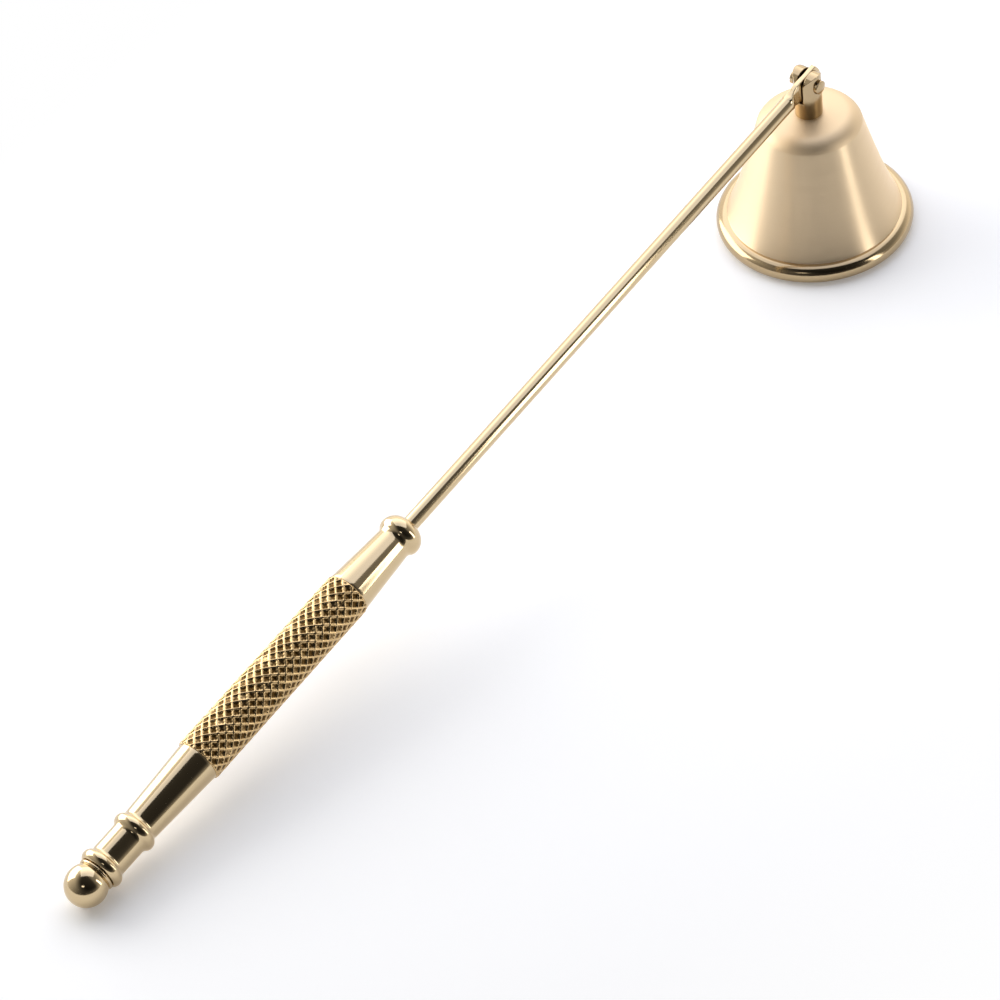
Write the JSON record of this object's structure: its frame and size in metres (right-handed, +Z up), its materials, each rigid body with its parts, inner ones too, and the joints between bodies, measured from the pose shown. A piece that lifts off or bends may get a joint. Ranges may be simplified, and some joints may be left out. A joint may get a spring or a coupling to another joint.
{
  "type": "candle snuffer",
  "caption": "Candle snuffer: a spun bell with a rolled rim, hinged on a clevis post to a thin rod with a turned handle, knurled grip and ball end.",
  "frame": {"origin": "centre of the bell's mouth, on the plane of the table that the rim stands on", "axes": "+Z up through the bell's crown and post; the rod and handle run towards -X in the XZ plane; the pivot lies along Y"},
  "size_m": [0.2268, 0.0376, 0.0368],
  "materials": {
    "satin_brass": "fine lathe-brushed satin, pale gold",
    "polished_brass": "mirror polished, pale gold",
    "knurled_brass": "polished over a fine diamond knurl, pale gold",
    "inner_steel": "plain turned steel"
  },
  "bodies": {
    "bell": {"bell": "satin_brass", "clevis_post": "polished_brass", "pivot_barrel": "polished_brass", "pivot_screw": "polished_brass", "post_washer": "inner_steel", "post_screw": "inner_steel"},
    "handle": {"snuffer_rod": "polished_brass", "grip_ferrule": "polished_brass", "knurled_grip": "knurled_brass", "grip_butt": "polished_brass", "ball_finial": "polished_brass"}
  },
  "joints": [
    {"name": "bell_pivot", "type": "hinge", "parent": "bell", "child": "handle", "pos_m": [0, 0, 0.0342], "axis": [0, 1, 0], "range_deg": [-12, 210]}
  ]
}
